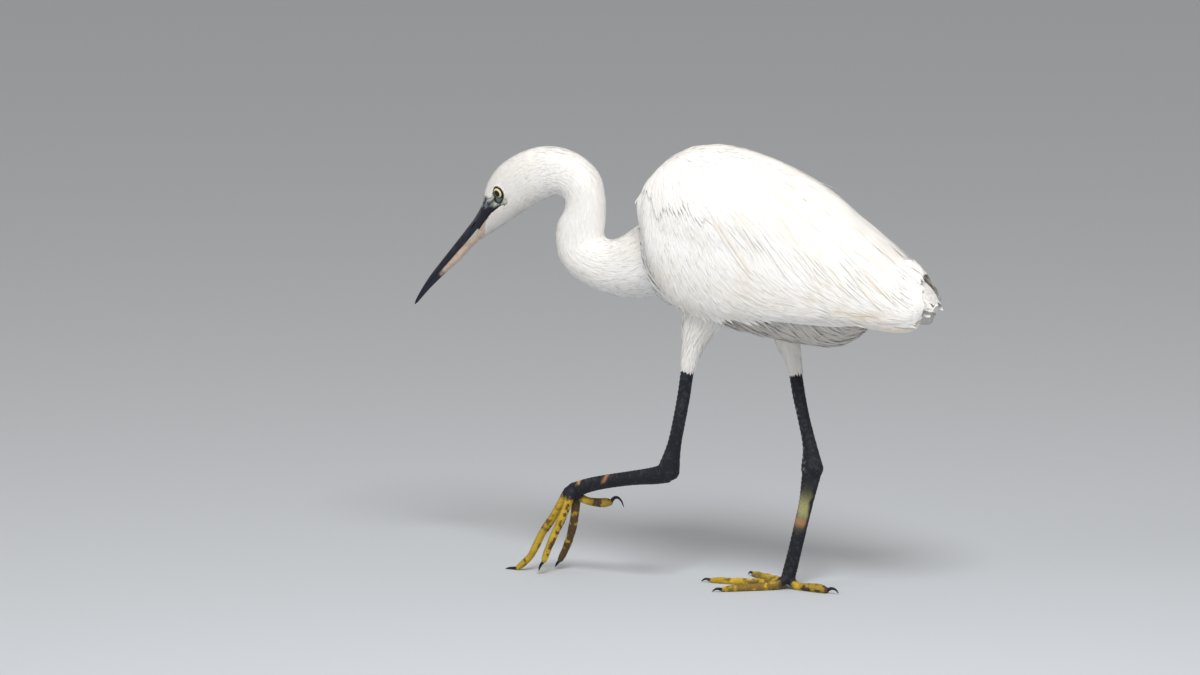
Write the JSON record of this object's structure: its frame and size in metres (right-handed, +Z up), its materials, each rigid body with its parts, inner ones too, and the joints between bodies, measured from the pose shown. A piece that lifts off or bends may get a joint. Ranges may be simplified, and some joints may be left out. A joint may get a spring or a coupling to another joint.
{
  "type": "little egret",
  "caption": "Life-size little egret wading: body level, neck folded back and head lowered with the bill down, one foot flat on the ground, the other raised ahead with its toes reaching down.",
  "frame": {"origin": "middle of the bird's outline in plan, on the ground under its feet", "axes": "+Z up; the bird faces -X, its left side is -Y and its right side +Y"},
  "size_m": [0.4161, 0.0952, 0.3177],
  "materials": {
    "plumage": "matt white feathers with warm cream in the creases",
    "leg_skin": "black scaly leg skin with a dull sheen",
    "toe_skin": "yellow scaly skin banded with brown",
    "bill_horn": "satin blue-black horn",
    "bill_pale_horn": "satin flesh-coloured horn, black towards the tip",
    "claw_horn": "satin black horn",
    "eye_surface": "wet pale yellow eye with a black pupil"
  },
  "bodies": {
    "root": {"head": "plumage", "neck_upper": "plumage", "neck_middle": "plumage", "neck_lower": "plumage", "trunk": "plumage", "wing_left": "plumage", "wing_right": "plumage", "tail": "plumage", "thigh_left": "plumage", "thigh_right": "plumage", "tibia_left": "leg_skin", "tarsus_left": "leg_skin", "tibia_right": "leg_skin", "tarsus_right": "leg_skin", "toe_inner_left": "toe_skin", "toe_middle_left": "toe_skin", "toe_outer_left": "toe_skin", "toe_hind_left": "toe_skin", "toe_inner_right": "toe_skin", "toe_middle_right": "toe_skin", "toe_outer_right": "toe_skin", "toe_hind_right": "toe_skin", "claw_inner_left": "claw_horn", "claw_middle_left": "claw_horn", "claw_outer_left": "claw_horn", "claw_hind_left": "claw_horn", "claw_inner_right": "claw_horn", "claw_middle_right": "claw_horn", "claw_outer_right": "claw_horn", "claw_hind_right": "claw_horn", "bill_upper": "bill_horn", "bill_lower": "bill_pale_horn", "eye_left": "eye_surface", "eye_right": "eye_surface"}
  },
  "joints": []
}
